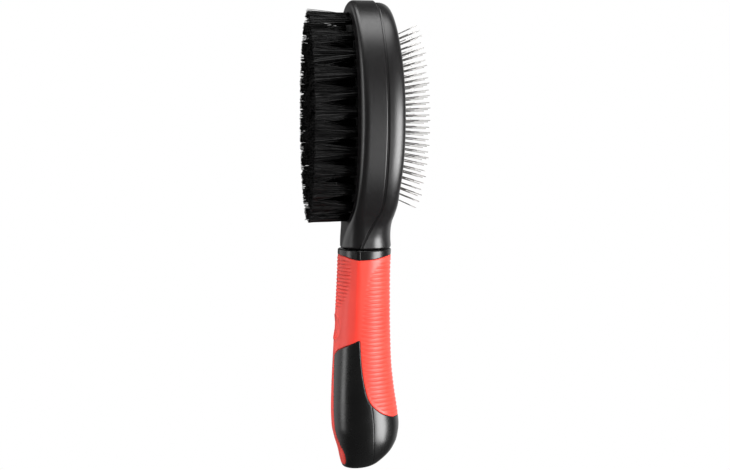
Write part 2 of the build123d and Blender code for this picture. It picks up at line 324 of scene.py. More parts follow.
def thicken(outer, inner, faces):
    """Closes an open surface into a shell with a given inner surface."""
    count = len(outer)
    edges = {}
    for face in faces:
        for a, b in zip(face, face[1:] + face[:1]):
            edges[(a, b)] = edges.get((a, b), 0) + 1
    rim = [(b, a, a + count, b + count) for a, b in edges if (b, a) not in edges]
    backs = [tuple(i + count for i in reversed(face)) for face in faces]
    return np.vstack([outer, inner]), list(faces) + backs + rim


def used_only(points, faces):
    """The points that some face uses, and the faces renumbered to them."""
    used = sorted({i for face in faces for i in face})
    place = {old: new for new, old in enumerate(used)}
    return points[used], [tuple(place[i] for i in face) for face in faces], used


def make_piece(name, points, faces, material, body, merge=0.002, auto_smooth=None):
    """A mesh object from millimetre points, riding on a body with its material slot."""
    mesh = bpy.data.meshes.new(name)
    mesh.from_pydata((np.asarray(points, float) * MM).tolist(), [], [list(f) for f in faces])
    piece = bpy.data.objects.new(name, mesh)
    bpy.context.scene.collection.objects.link(piece)
    if merge:
        work = bmesh.new()
        work.from_mesh(mesh)
        bmesh.ops.remove_doubles(work, verts=work.verts, dist=merge * MM)
        bmesh.ops.dissolve_degenerate(work, edges=work.edges, dist=merge * MM)
        bmesh.ops.recalc_face_normals(work, faces=work.faces)
        work.to_mesh(mesh)
        work.free()
    mesh.validate()
    mesh.polygons.foreach_set("use_smooth", [True] * len(mesh.polygons))
    if auto_smooth:
        mesh.set_sharp_from_angle(angle=math.radians(auto_smooth))
    mesh.materials.append(material)
    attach(piece, body)
    return piece


# ---------------------------------------------------------------- materials


class Nodes:
    """A short way to write a node material."""

    def __init__(self, name):
        self.material = bpy.data.materials.new(name)
        self.material.use_nodes = True
        self.tree = self.material.node_tree
        self.shader = self.tree.nodes["Principled BSDF"]

    def add(self, kind, **values):
        """A new node with its inputs and settings given by name."""
        node = self.tree.nodes.new(kind)
        for key, value in values.items():
            if key in node.inputs:
                node.inputs[key].default_value = value
            else:
                setattr(node, key, value)
        return node

    def link(self, source, target):
        self.tree.links.new(source, target)

    def position(self):
        """The place on the object, in metres."""
        return self.add("ShaderNodeTexCoord").outputs["Object"]

    def noise(self, scale, detail):
        """A noise pattern fixed to the object."""
        texture = self.add("ShaderNodeTexNoise", Scale=scale, Detail=detail, Roughness=0.5)
        self.link(self.position(), texture.inputs["Vector"])
        return texture.outputs["Fac"]

    def between(self, fac, low, high, from_low=0.3, from_high=0.7):
        """A number that follows a pattern between two values."""
        node = self.add("ShaderNodeMapRange")
        node.inputs["From Min"].default_value = from_low
        node.inputs["From Max"].default_value = from_high
        node.inputs["To Min"].default_value = low
        node.inputs["To Max"].default_value = high
        self.link(fac, node.inputs["Value"])
        return node.outputs["Result"]

    def color(self, fac, first, second):
        """Makes the base colour follow a pattern between two colours."""
        ramp = self.add("ShaderNodeValToRGB")
        ramp.color_ramp.elements[0].position = 0.3
        ramp.color_ramp.elements[0].color = (*first, 1)
        ramp.color_ramp.elements[1].position = 0.7
        ramp.color_ramp.elements[1].color = (*second, 1)
        self.link(fac, ramp.inputs["Fac"])
        self.link(ramp.outputs["Color"], self.shader.inputs["Base Color"])

    def roughness(self, fac, low, high):
        """Makes the roughness follow a pattern between two values."""
        self.link(self.between(fac, low, high), self.shader.inputs["Roughness"])

    def bump(self, height, distance, strength):
        """Raises the surface by a pattern."""
        node = self.add("ShaderNodeBump", Strength=strength, Distance=distance)
        self.link(height, node.inputs["Height"])
        self.link(node.outputs["Normal"], self.shader.inputs["Normal"])

    def set(self, **values):
        """Sets inputs of the shader by name."""
        for key, value in values.items():
            self.shader.inputs[key.replace("_", " ")].default_value = value


def head_plastic():
    """Moulded black plastic with a fine satin grain."""
    coat = Nodes("head_plastic")
    coat.color(coat.noise(60, 2), (0.004, 0.0037, 0.0039), (0.006, 0.0055, 0.0058))
    coat.roughness(coat.noise(900, 3), 0.29, 0.36)
    coat.bump(coat.noise(2600, 2), 0.00002, 0.35)
    coat.set(IOR=1.5)
    return coat.material


def handle_plastic():
    """Polished black plastic with faint handling haze."""
    coat = Nodes("handle_plastic")
    coat.color(coat.noise(40, 2), (0.003, 0.003, 0.003), (0.0045, 0.0045, 0.0045))
    coat.roughness(coat.noise(120, 4), 0.24, 0.3)
    coat.bump(coat.noise(1500, 2), 0.00001, 0.15)
    coat.set(IOR=1.46)
    return coat.material


def grip_rubber():
    """Coral-red soft grip, slightly deeper in colour in patches and with a fine matt grain."""
    coat = Nodes("grip_rubber")
    coat.color(coat.noise(55, 3), (0.84, 0.042, 0.026), (0.92, 0.054, 0.034))
    coat.roughness(coat.noise(700, 3), 0.4, 0.5)
    coat.bump(coat.noise(3000, 2), 0.00002, 0.3)
    coat.set(Subsurface_Weight=0.12, Subsurface_Scale=0.004, IOR=1.48)
    coat.shader.inputs["Subsurface Radius"].default_value = (1.0, 0.25, 0.2)
    return coat.material


def bristle_nylon():
    """Jet-black nylon filament."""
    coat = Nodes("bristle_nylon")
    coat.color(coat.noise(500, 2), (0.0012, 0.0012, 0.0013), (0.003, 0.0029, 0.003))
    coat.roughness(coat.noise(800, 2), 0.3, 0.42)
    coat.set(IOR=1.4, Specular_IOR_Level=0.3)
    return coat.material


def pin_steel():
    """Steel wire, with painted shade darkening it near the cushion and a painted highlight
    brightening it towards its end.
    """
    coat = Nodes("pin_steel")
    split = coat.add("ShaderNodeSeparateXYZ")
    coat.link(coat.position(), split.inputs[0])
    # the base colour is painted shade near the cushion turning to a painted highlight towards the
    # tips; a noise makes the turn uneven
    reach = coat.between(split.outputs["X"], 0.0, 1.0, *PIN_PAINTED_LIGHT_X)
    shade_edge_noise = coat.between(coat.noise(900, 2), -0.12, 0.12)
    place = coat.add("ShaderNodeMath", operation="ADD")
    coat.link(reach, place.inputs[0])
    coat.link(shade_edge_noise, place.inputs[1])
    coat.color(place.outputs[0], (0.05, 0.047, 0.044), (0.43, 0.42, 0.41))
    coat.roughness(coat.noise(1500, 2), 0.34, 0.46)
    coat.set(Metallic=0.4)
    return coat.material


def cushion_rubber():
    """Matt black rubber."""
    coat = Nodes("cushion_rubber")
    coat.color(coat.noise(90, 3), (0.016, 0.016, 0.017), (0.026, 0.026, 0.027))
    coat.roughness(coat.noise(500, 3), 0.6, 0.74)
    coat.bump(coat.noise(1800, 3), 0.00003, 0.4)
    return coat.material


def inner_plastic():
    """Plain black plastic of the hidden parts."""
    coat = Nodes("inner_plastic")
    coat.color(coat.noise(80, 2), (0.003, 0.003, 0.003), (0.006, 0.006, 0.006))
    coat.roughness(coat.noise(600, 2), 0.55, 0.65)
    coat.set(Specular_IOR_Level=0.25)
    return coat.material


def anchor_metal():
    """Bright wire of the anchors that hold the tufts."""
    coat = Nodes("anchor_metal")
    coat.color(coat.noise(300, 2), (0.6, 0.45, 0.22), (0.75, 0.58, 0.3))
    coat.roughness(coat.noise(900, 2), 0.25, 0.35)
    coat.set(Metallic=1.0)
    return coat.material


# ---------------------------------------------------------------- handle

sections = np.array(HANDLE_SECTIONS)
root_heights = np.sqrt(sections[:, 0])
front_x = smooth_curve(list(zip(root_heights, sections[:, 1])))
back_x = smooth_curve(list(zip(root_heights, sections[:, 2])))
half_width = smooth_curve(list(zip(root_heights, sections[:, 3])))


def from_back(turn):
    """Angle from the middle of the pin-side face, the same on both flanks."""
    turn = np.mod(turn, 360)
    return np.minimum(turn, 360 - turn)


def handle_point(turn, z):
    """A point on the handle's surface. turn runs round it from the pin side."""
    root = np.sqrt(np.maximum(z, 0))
    low, high, wide = front_x(root), back_x(root), half_width(root)
    angle = np.radians(turn)
    x = (low + high) / 2 + (high - low) / 2 * np.cos(angle)
    y = -wide * np.sin(angle)
    return np.stack([x, y, z + 0 * x], -1)


def handle_normal(turn, z):
    """The outward direction of the plain handle surface."""
    z = np.maximum(z, 0.02)
    across = handle_point(turn + 0.5, z) - handle_point(turn - 0.5, z)
    up = handle_point(turn, z + 0.02) - handle_point(turn, z - 0.02)
    normal = np.cross(up, across)
    return normal / np.maximum(np.linalg.norm(normal, axis=-1, keepdims=True), 1e-9)


# the soft grip's upper edge at the collar, by angle from the back
collar_edge_z = smooth_curve(
    [(0, 106.1), (45, 105.6), (88, 104.4), (112, 104.1), (150, 105.6), (180, 106.2)]
)

# the edge of the hard panel, as (angle from the back, height): below the ribbed back, up
# beside it, and over the top
PANEL_LOW_EDGE = [(0, 26.4), (40, 26.8), (55, 27.8), (70, 29.5), (80, 31.7)]
PANEL_BACK_EDGE = [(80, 31.7), (89, 34.6), (94, 37.8), (98, 43.0), (103, 52.5), (106, 62)]
PANEL_TOP_EDGE = [(106.7, 64.6), (107.6, 65.3), (109.2, 65.4), (120, 63.9), (140, 61.8), (158, 59.9)]
# the soft strip that runs down the front, as (height, half width) on the unrolled handle
STRIP_EDGE = [
    (2.6, 7.2),
    (4.5, 8.3),
    (7, 7.9),
    (10, 6.4),
    (13, 4.8),
    (17, 3.8),
    (25, 3.2),
    (40, 2.6),
    (57, 1.5),
]
STRIP_FOOT = [(2.35, 5.5), (2.2, 2.5)]
# how far past the handle's middle lines and lower end the panel's outline runs
PANEL_SPARE = 20
PANEL_BOTTOM_Z = -30
# the angles that its edge below the ribbed back is drawn between
PANEL_LOW_SPAN = (-30, 79)


def chart(angle, z):
    """Angle and height as lengths on the unrolled handle."""
    return (math.radians(angle) * CHART_RADIUS, z)


def panel_outline():
    """The closed outline of the hard panel on the unrolled handle."""
    low = smooth_curve(PANEL_LOW_EDGE)
    back = smooth_curve([(z, angle) for angle, z in PANEL_BACK_EDGE])
    strip = smooth_curve(STRIP_EDGE)
    middle = chart(180, 0)[0]
    back_low, back_high = PANEL_BACK_EDGE[0][1], PANEL_BACK_EDGE[-1][1]
    strip_low, strip_high = STRIP_EDGE[0][0], STRIP_EDGE[-1][0]
    points = [chart(angle, float(low(angle))) for angle in np.linspace(*PANEL_LOW_SPAN, 20)]
    points += [chart(float(back(z)), z) for z in np.linspace(back_low, back_high, 40)]
    points += [chart(*corner) for corner in PANEL_TOP_EDGE]
    points += [(middle - float(strip(z)), z) for z in np.linspace(strip_high, strip_low, 40)]
    points += [(middle - half, z) for z, half in STRIP_FOOT]
    points += [(middle + PANEL_SPARE, STRIP_FOOT[-1][0]), (middle + PANEL_SPARE, PANEL_BOTTOM_Z)]
    points += [(-PANEL_SPARE, PANEL_BOTTOM_Z)]
    return np.array(points)


PANEL = panel_outline()


def grip_field(turn, z):
    """Positive on the soft grip, negative on the hard core, in millimetres."""
    angle = from_back(turn)
    gap = outline_distance(np.radians(angle) * CHART_RADIUS, z, PANEL)
    return np.minimum(gap, collar_edge_z(angle) - z)


# where the core's two halves meet, by height
core_seam_x = smooth_curve([(0, 2.0), (12, 1.7), (25, 0.9), (34, 0.0), (50, CORE_SEAM_X)])


def core_field(turn, z):
    """Positive on the pin-side half of the core."""
    seam = np.where(z > NECK_SEAM_FROM_Z, NECK_SEAM_X, core_seam_x(z))
    return handle_point(turn, z)[..., 0] - seam


# where the ribs end: as an angle from the back by height, and at the top as a height by angle
back_rib_edge = smooth_curve(
    [(20, 108), (60, 105.5), (67, 103.5), (76, 101), (86, 97), (92, 93)]
    + [(97, 86), (100.5, 76), (103, 62)]
)
back_rib_top = smooth_curve([(0, 104.2), (40, 103.9), (62, 103.0), (76, 100.5), (90, 97)])
front_rib_edge = smooth_curve(
    [(79.5, 172), (81, 155), (84, 144), (88, 137), (93, 132.5), (98, 131), (102, 132)]
    + [(104, 140), (105.2, 165)]
)


def rib_wave(z, start, pitch):
    """Rounded crests with narrow grooves, from 0 in a groove to 1 on a crest."""
    return np.abs(np.sin(np.pi * (z - start) / pitch)) ** RIB_FLATNESS


def rib_lift(turn, z, gap):
    """How far the ribs stand above or below the plain surface."""
    angle = from_back(turn)
    inside_back = np.minimum(
        np.radians(back_rib_edge(z) - angle) * CHART_RADIUS, back_rib_top(angle) - z
    )
    inside_back = np.minimum(inside_back, gap - RIB_FREE_EDGE)
    inside_front = np.radians(angle - front_rib_edge(z)) * CHART_RADIUS
    low, high = FRONT_RIB_RANGE
    inside_front = np.where((z < low) | (z > high), -1, inside_front)
    back = smooth_step(inside_back, 0, RIB_FADE)
    front = smooth_step(inside_front, 0, RIB_FADE)
    back_wave = rib_wave(z, BACK_RIB_START_Z, BACK_RIB_PITCH)
    front_wave = rib_wave(z, FRONT_RIB_START_Z, FRONT_RIB_PITCH)
    back_height = RIB_RISE - (RIB_RISE + RIB_GROOVE) * (1 - back_wave)
    front_height = RIB_RISE - (RIB_RISE + RIB_GROOVE) * (1 - front_wave)
    return back * back_height + front * front_height


def flank_ridge(turn, z):
    """The soft ridge that runs down each flank beside the ribbed back."""
    angle = from_back(turn)
    ridge = np.exp(-(((angle - RIDGE_ANGLE) / RIDGE_SPREAD) ** 2))
    return RIDGE_RISE * ridge * smooth_step(z, *RIDGE_FADE_Z)


def thumb_pad(turn, z):
    """A plain shallow oval recess with a raised ring round it, on the bristle-side face."""
    u = np.radians(180 - from_back(turn)) * CHART_RADIUS
    away = np.hypot(u / PAD_HALF[0], (z - PAD_Z) / PAD_HALF[1])
    ring = np.exp(-(((away - PAD_RING[0]) / PAD_RING[1]) ** 2))
    return PAD_RING_RISE * ring - PAD_DEPTH * (1 - smooth_step(away, *PAD_EDGE))


def mouth_round(z):
    """The rounded upper edge of the collar."""
    t = np.clip((z - (COLLAR_TOP_Z - COLLAR_ROUND)) / COLLAR_ROUND, 0, 1)
    return -COLLAR_ROUND * (1 - np.sqrt(np.maximum(1 - t * t, 0)))


def handle_chart():
    """The unrolled handle as a grid, cut along the grip's edge and the core's seam."""
    plain = np.linspace(0.15, math.sqrt(26), 44) ** 2
    ribbed = np.arange(26.3, 106.6, RIB_ROW_STEP)
    collar = np.array([106.9, 107.5, 108.1, 108.3, 108.5, 108.65, 108.75, COLLAR_TOP_Z])
    heights = np.concatenate([plain, ribbed, collar])
    turns = np.linspace(0, 360, HANDLE_COLUMNS)
    points = np.array([(t, z) for z in heights for t in turns])
    faces = grid_faces(len(heights), len(turns))
    for level in GRIP_EDGE_CUTS:
        points, faces = split_chart(points, faces, grip_field, level)
    for level in CORE_SEAM_CUTS:
        points, faces = split_chart(points, faces, core_field, level)
    return points, faces


def handle_pieces(core_material, grip_material):
    """The soft grip and the two halves of the hard core."""
    points, faces = handle_chart()
    turn, z = points[:, 0], points[:, 1]
    centres = np.array([points[list(f)].mean(0) for f in faces])
    on_grip = grip_field(centres[:, 0], centres[:, 1]) > 0
    on_pin_side = core_field(centres[:, 0], centres[:, 1]) > 0
    gap = grip_field(turn, z)
    seam = np.abs(core_field(turn, z))
    normal = handle_normal(turn, z)
    shared = flank_ridge(turn, z) + mouth_round(z)

    grip_round = edge_round(gap, GRIP_EDGE)
    grip_lift = shared + grip_round + rib_lift(turn, z, gap) + thumb_pad(turn, z)
    core_round = edge_round(-gap, CORE_EDGE)
    core_lift = shared + core_round + edge_round(seam, CORE_GROOVE)

    def shell(name, chosen, lift, wall, material, node):
        picked = [f for f, keep in zip(faces, chosen) if keep]
        outer = handle_point(turn, z) + normal * lift[:, None]
        inner = handle_point(turn, z) - normal * wall
        outer_used, picked_faces, used = used_only(outer, picked)
        solid_points, solid_faces = thicken(outer_used, inner[used], picked_faces)
        piece = make_piece(name, solid_points, solid_faces, material, "brush")
        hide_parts(node)

    shell("soft_grip", on_grip, grip_lift, GRIP_WALL, grip_material, "handle_grip")
    for name, chosen, node in (
        ("handle_core_front", ~on_grip & ~on_pin_side, "handle_core_bristle_half"),
        ("handle_core_back", ~on_grip & on_pin_side, "handle_core_pin_half"),
    ):
        shell(name, chosen, core_lift, CORE_WALL, core_material, node)


# ---------------------------------------------------------------- head shells


def oval_width(z):
    """Half the width of the head's oval at a height."""
    return HEAD_HALF_WIDTH * math.sqrt(1 - ((z - HEAD_Z) / HEAD_HALF_LENGTH) ** 2)


neck_width = smooth_curve(
    [
        (NECK_END_Z, 12.3),
        (113.5, 12.75),
        (119, 14.3),
        (125, 17.5),
        (131, 21.5),
        (OVAL_END_Z, oval_width(OVAL_END_Z)),
        (143, oval_width(143)),
    ]
)
front_face_x = smooth_curve(
    [
        (NECK_END_Z, -12.2),
        (113.5, -11.7),
        (119, -10.6),
        (125, -9.3),
        (131, -8.7),
        (OVAL_END_Z, BRISTLE_FACE_X),
        (231, BRISTLE_FACE_X),
    ]
)
neck_back_x = smooth_curve(
    [(NECK_END_Z, 12.7), (114, 12.3), (119, 12.2), (125, 12.6), (131, 12.35), (OVAL_END_Z, 11.96)]
)
seam_line_x = smooth_curve(
    [
        (NECK_END_Z, NECK_SEAM_X),
        (110.5, NECK_SEAM_X + 0.2),
        (113, NECK_SEAM_X + 1.35),
        (125, 1.6),
        (129, 3.1),
        (134, SEAM_X),
        (231, SEAM_X),
    ]
)
# how far the rounded rim reaches along the thickness, and in towards the face, by height
front_round = smooth_curve(
    [(NECK_END_Z, 12.3), (114, 9.5), (119, 7.4), (125, 5.4), (131, 4.4), (138, 4.0)]
    + [(150, 4.6), (172, 5.2), (190, 4.2), (208, 3.2), (228, 2.8)]
)
front_drop = smooth_curve(
    [(NECK_END_Z, 11.9), (114, 9.8), (119, 7.4), (125, 5.2), (131, 4.1), (138, 3.5)]
    + [(150, 3.5), (172, 3.7), (190, 3.3), (208, 3.0), (228, 2.8)]
)
back_round = smooth_curve(
    [(NECK_END_Z, 12.3), (114, 12.8), (119, 12), (125, 9), (131, 6), (138, 4.4)]
    + [(150, 4.2), (172, 4.6), (190, 4.2), (205, 3.9), (228, 3.0)]
)
back_drop = smooth_curve(
    [(NECK_END_Z, 11.9), (114, 11.4), (119, 9.8), (125, 8), (131, 7.2), (138, 6.9)]
    + [(150, 6.9), (205, 6.5), (228, 4.6)]
)


def back_face_x(z):
    """The crowned pin-side face, running into the neck."""
    crown = PIN_FACE_X - (z - HEAD_Z) ** 2 / (2 * PIN_FACE_RADIUS)
    return np.where(z > OVAL_END_Z, crown, neck_back_x(z))


def head_stations(step):
    """Points down one flank of the head's outline, from the top to the end of the neck."""
    low = math.acos((OVAL_END_Z - HEAD_Z) / HEAD_HALF_LENGTH)
    oval = []
    for angle in np.linspace(0, low, 120):
        share = float(smooth_step(math.cos(angle), math.cos(low), PIN_SHELL_STEP_COSINE))
        wide = HEAD_HALF_WIDTH - share * step[1]
        long = HEAD_HALF_LENGTH - share * step[0]
        oval.append((wide * math.sin(angle), HEAD_Z + long * math.cos(angle)))
    heights = list(np.linspace(136.2, WINDOW_JOIN_Z, 26)) + list(np.linspace(117.3, 110.4, 12))
    heights += [110.1, 109.9, 109.7, 109.55, 109.45, NECK_END_Z]
    return oval + [(float(neck_width(z)), z) for z in heights]


def window_station(width, z, window):
    """The point that faces a station, and whether it is on the window's edge.

    Below the join it is on the middle line of the neck instead.
    """
    half_length, half_across = window
    low = math.degrees(math.acos((OVAL_END_Z - HEAD_Z) / HEAD_HALF_LENGTH))
    if z >= OVAL_END_Z:
        angle = math.degrees(math.atan2(width / HEAD_HALF_WIDTH, (z - HEAD_Z) / HEAD_HALF_LENGTH))
        angle *= OVAL_END_TURN / low
    elif z >= WINDOW_JOIN_Z:
        past_oval = (OVAL_END_Z - z) / (OVAL_END_Z - WINDOW_JOIN_Z)
        angle = OVAL_END_TURN + (180 - OVAL_END_TURN) * past_oval
    else:
        bottom = HEAD_Z - half_length
        share = (z - NECK_END_Z) / (WINDOW_JOIN_Z - NECK_END_Z)
        return 0.0, NECK_END_Z + (bottom - NECK_END_Z) * share, False
    angle = math.radians(min(angle, 180))
    return half_across * math.sin(angle), HEAD_Z + half_length * math.cos(angle), True


def flank_profile(station, window, face_x, rounding, drop, side):
    """One station's section, from the far end of the side wall over the rim to the window.

    side is -1 on the bristle side and 1 on the pin side. Gives how far in each point lies,
    its x, and the direction (y, z) that leads inwards.
    """
    width, z = station
    y_in, z_in, _ = window_station(width, z, window)
    run = math.hypot(width - y_in, z - z_in)
    toward = ((y_in - width) / run, (z_in - z) / run)
    reach = min(float(rounding(z)), run * 0.999)
    fall = float(drop(z))
    edge_x = float(face_x(z))
    wall_end = edge_x - side * fall
    inward, x_list = [], []
    far = wall_end - side * SIDE_WALL_REACH
    for t in np.linspace(0, 1, 60):
        inward.append(0.0)
        x_list.append(far + (wall_end - far) * t)
    for t in np.linspace(0, math.pi / 2, 24)[1:]:
        inward.append(reach * (1 - math.cos(t)))
        x_list.append(wall_end + side * fall * math.sin(t))
    for t in np.linspace(0, 1, 14)[1:]:
        inward.append(reach + (run - reach) * t)
        x_list.append(edge_x)
    inward, x = np.array(inward), np.array(x_list)
    z_here = z + toward[1] * inward
    share = np.clip((x - wall_end) / (side * fall), 0, 1)
    x = x + share * (face_x(z_here) - edge_x)
    return inward, x, toward


def resample(inward, x, marks, count):
    """Points along a section at the given first distances, then evenly by length and turn."""
    step = np.hypot(np.diff(inward), np.diff(x))
    heading = np.unwrap(np.arctan2(np.diff(x), np.diff(inward)))
    bend = np.abs(np.diff(heading, prepend=heading[0]))
    length = np.concatenate([[0], np.cumsum(step)])
    weight = np.concatenate([[0], np.cumsum(step + BEND_WEIGHT * bend)])
    start = np.interp(marks[-1], length, weight)
    even = np.interp(np.linspace(start, weight[-1], count + 1)[1:], weight, length)
    at = np.concatenate([marks, even])
    return at, np.interp(at, length, inward), np.interp(at, length, x)


def shell_half(side, step, window, face_x, rounding, drop, marks, dip, count=34):
    """The near flank of one shell as a grid of outer and inner points."""
    outer, inner = [], []
    stations = head_stations(step)
    for width, z in stations:
        inward, x, toward = flank_profile((width, z), window, face_x, rounding, drop, side)
        z_here = z + toward[1] * inward
        beyond = (x - seam_line_x(z_here)) * side > 0
        first = int(np.argmax(beyond))
        inward, x = inward[first - 1 :].copy(), x[first - 1 :].copy()
        seam = float(seam_line_x(z + toward[1] * inward[0]))
        t = (seam - x[0]) / (x[1] - x[0])
        inward[0] += (inward[1] - inward[0]) * t
        x[0] = seam
        at, inward, x = resample(inward, x, marks, count)
        d_in, d_x = np.gradient(inward, at), np.gradient(x, at)
        size = np.hypot(d_in, d_x)
        n_in, n_x = -side * d_x / size, side * d_in / size
        sink = dip(at) - edge_round(z - NECK_END_Z, NECK_END_EDGE)
        for store, depth in ((outer, sink), (inner, SHELL_WALL + 0 * sink)):
            moved_in = inward - n_in * depth
            moved_x = x - n_x * depth
            row_y = -(width + toward[0] * moved_in)
            row_z = z + toward[1] * moved_in
            store.append(np.stack([moved_x, np.minimum(row_y, 0), row_z], -1))
    return np.array(outer), np.array(inner)


def window_wall(edge, side):
    """Rows that turn the rim over into the window and down to the part inside it."""
    rows = []
    for t in np.linspace(0, math.pi / 2, 6)[1:]:
        rows.append((WINDOW_LIP * math.sin(t), WINDOW_LIP * (1 - math.cos(t))))
    rows.append((WINDOW_LIP, WINDOW_WALL_DEPTH))
    result = []
    for inward, drop in rows:
        moved = edge.copy()
        moved[:, 0] -= side * drop
        centre = np.array([0, HEAD_Z])
        toward = centre - edge[:, 1:]
        toward /= np.linalg.norm(toward, axis=1, keepdims=True)
        moved[:, 1:] += toward * inward
        result.append(moved)
    return result


def tang():
    """The oval tongue of the neck that plugs into the handle."""
    angles = np.linspace(0, 2 * math.pi, TANG_SIDES, endpoint=False)
    ring = [
        (CORE_SEAM_X + TANG_HALF[0] * math.cos(a), TANG_HALF[1] * math.sin(a)) for a in angles
    ]
    points = np.array([(x, y, z) for z in TANG_ENDS for x, y in ring])
    faces = [tuple(reversed(range(TANG_SIDES))), tuple(range(TANG_SIDES, 2 * TANG_SIDES))]
    for side in range(TANG_SIDES):
        following = (side + 1) % TANG_SIDES
        faces.append((side, following, following + TANG_SIDES, side + TANG_SIDES))
    return points, faces


def head_shell(name, node, side, step, window, face_x, rounding, drop, marks, dip, material):
    """One shell of the head: both flanks of its outside, its wall and its inside.

    The bristle-side shell also carries the tang.
    """
    outer, inner = shell_half(side, step, window, face_x, rounding, drop, marks, dip)
    points, faces = [], []

    def add_grid(grid, flip):
        base = sum(len(p) for p in points)
        r, c = grid.shape[:2]
        points.append(grid.reshape(-1, 3))
        faces.extend(tuple(base + i for i in f) for f in grid_faces(r, c, flip))

    open_rows = [
        i for i, (w, z) in enumerate(head_stations(step)) if window_station(w, z, window)[2]
    ]
    edge = outer[open_rows, -1]
    wall = np.array([edge] + window_wall(edge, side))
    edge_inner = inner[open_rows, -1]
    close = np.array([wall[-1], edge_inner])
    seam_close = np.array([outer[:, 0], inner[:, 0]])
    end_close = np.array([outer[-1], inner[-1]])
    for mirror in (1, -1):
        turned = np.array([1, mirror, 1])
        flip = (mirror * side) < 0
        add_grid(outer * turned, flip)
        add_grid(inner * turned, not flip)
        add_grid(wall * turned, not flip)
        add_grid(close * turned, not flip)
        add_grid(seam_close * turned, flip)
        add_grid(end_close * turned, flip)
    if side < 0:
        tongue_points, tongue_faces = tang()
        start = sum(len(part) for part in points)
        points.append(tongue_points)
        faces += [tuple(start + i for i in face) for face in tongue_faces]
    piece = make_piece(
        name, np.vstack(points), faces, material, "brush", merge=0.01
    )
    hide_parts(node)


def front_dip(at):
    """The bristle-side shell rounds over into the seam."""
    return -edge_round(at, FRONT_SEAM_EDGE)


def back_dip(at):
    """The pin-side shell starts with a low lip beside the seam."""
    lip = SEAM_LIP_DROP * (1 - smooth_step(at, *SEAM_LIP_SPAN))
    return lip - edge_round(at, BACK_SEAM_EDGE)


def head_pieces(material):
    """Both shells of the head with their halves of the neck."""
    head_shell(
        "head_shell_front",
        "head_shell_bristle_side",
        -1,
        (0.0, 0.0),
        BRISTLE_WINDOW,
        front_face_x,
        front_round,
        front_drop,
        FRONT_SEAM_MARKS,
        front_dip,
        material,
    )
    head_shell(
        "head_shell_back",
        "head_shell_pin_side",
        1,
        PIN_SHELL_STEP,
        PIN_WINDOW,
        back_face_x,
        back_round,
        back_drop,
        BACK_SEAM_MARKS,
        back_dip,
        material,
    )


# ---------------------------------------------------------------- bristles


def ring_places(half_length, half_across, count):
    """Points spaced evenly along an oval ring, as (y, z) about the head's centre."""
    angle = np.linspace(0, 2 * math.pi, 721)
    ring = np.stack([half_across * np.sin(angle), half_length * np.cos(angle)], -1)
    length = np.concatenate([[0], np.cumsum(np.linalg.norm(np.diff(ring, axis=0), axis=1))])
    wanted = length[-1] * (np.arange(count) + 0.25) / count
    return [tuple(ring[int(np.searchsorted(length, w))]) for w in wanted]


def filament(root, tip, bow, radius, draw):
    """A thin five-sided thread from root to tip with a slight bow and a flat end."""
    sides, rings = 5, 5
    axis = tip - root
    axis /= np.linalg.norm(axis)
    first = np.cross(axis, (0, 0, 1.0))
    first /= np.linalg.norm(first)
    second = np.cross(axis, first)
    spin = draw.uniform(0, 2 * math.pi)
    points = []
    for k in range(rings):
        t = k / (rings - 1)
        centre = root + (tip - root) * t + bow * (4 * t * (1 - t))
        thick = radius * (1 - FILAMENT_TAPER * t)
        for s in range(sides):
            angle = spin + 2 * math.pi * s / sides
            points.append(centre + thick * (math.cos(angle) * first + math.sin(angle) * second))
    faces = []
    for k in range(rings - 1):
        for s in range(sides):
            a, b = k * sides + s, k * sides + (s + 1) % sides
            faces.append((a, b, b + sides, a + sides))
    faces.append(tuple(range(sides)))
    faces.append(tuple((rings - 1) * sides + s for s in reversed(range(sides))))
    return points, faces


def tuft_filaments(y, z, draw):
    """The filaments of one tuft, from its hole to the trimmed plane."""
    threads = []
    tip_y, tip_z = y * TUFT_SPLAY[0], z * TUFT_SPLAY[1]
    for _ in range(FILAMENTS_PER_TUFT):
        angle = draw.uniform(0, 2 * math.pi)
        share = math.sqrt(draw.random())
        wander = draw.gauss(0, TUFT_TWIST)
        root = np.array(
            [
                TUFT_ROOT_X + TUFT_ROOT_DEPTH,
                y + TUFT_ROOT_RADIUS * share * math.cos(angle),
                HEAD_Z + z + TUFT_ROOT_RADIUS * share * math.sin(angle),
            ]
        )
        spread = TUFT_TIP_SPREAD * min(share * draw.uniform(*TUFT_SPREAD_RANGE), TUFT_SPREAD_LIMIT)
        turn = angle + wander
        end_y = tip_y + spread * TUFT_TIP_NARROWING * math.cos(turn)
        end_z = tip_z + spread * math.sin(turn)
        beyond = math.hypot(end_y / TRIMMED_FIELD[0], end_z / TRIMMED_FIELD[1])
        if beyond > 1:
            held = draw.uniform(*TRIMMED_EDGE_UNEVENNESS) / beyond
            end_y, end_z = end_y * held, end_z * held
        if draw.random() < STRAY_SHARE:
            end_y += draw.gauss(0, STRAY_SPREAD[0])
            end_z += draw.gauss(0, STRAY_SPREAD[1])
        tip = np.array([TIP_PLANE_X + draw.uniform(*TIP_UNEVENNESS), end_y, HEAD_Z + end_z])
        bow = np.array([0, draw.gauss(0, FILAMENT_BOW), draw.gauss(0, FILAMENT_BOW)])
        threads.append((root, tip, bow))
    return threads


def tuft_groups(material):
    """One piece of filaments for each ring of tufts."""
    draw = random.Random(BRISTLE_SEED)
    places = {name: ring_places(*ring) for name, ring in TUFT_RINGS.items()}
    places["tufts_centre_line"] = CENTRE_TUFTS
    for node, tufts in places.items():
        points, faces = [], []
        for y, z in tufts:
            for root, tip, bow in tuft_filaments(y, z, draw):
                more, sides = filament(root, tip, bow, FILAMENT_RADIUS, draw)
                base = len(points)
                points += more
                faces += [tuple(base + i for i in f) for f in sides]
        piece = make_piece(
            node.replace("tufts", "filaments"),
            points,
            faces,
            material,
            "brush",
            merge=0,
            auto_smooth=50,
        )
        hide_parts(node)


# ---------------------------------------------------------------- cushion


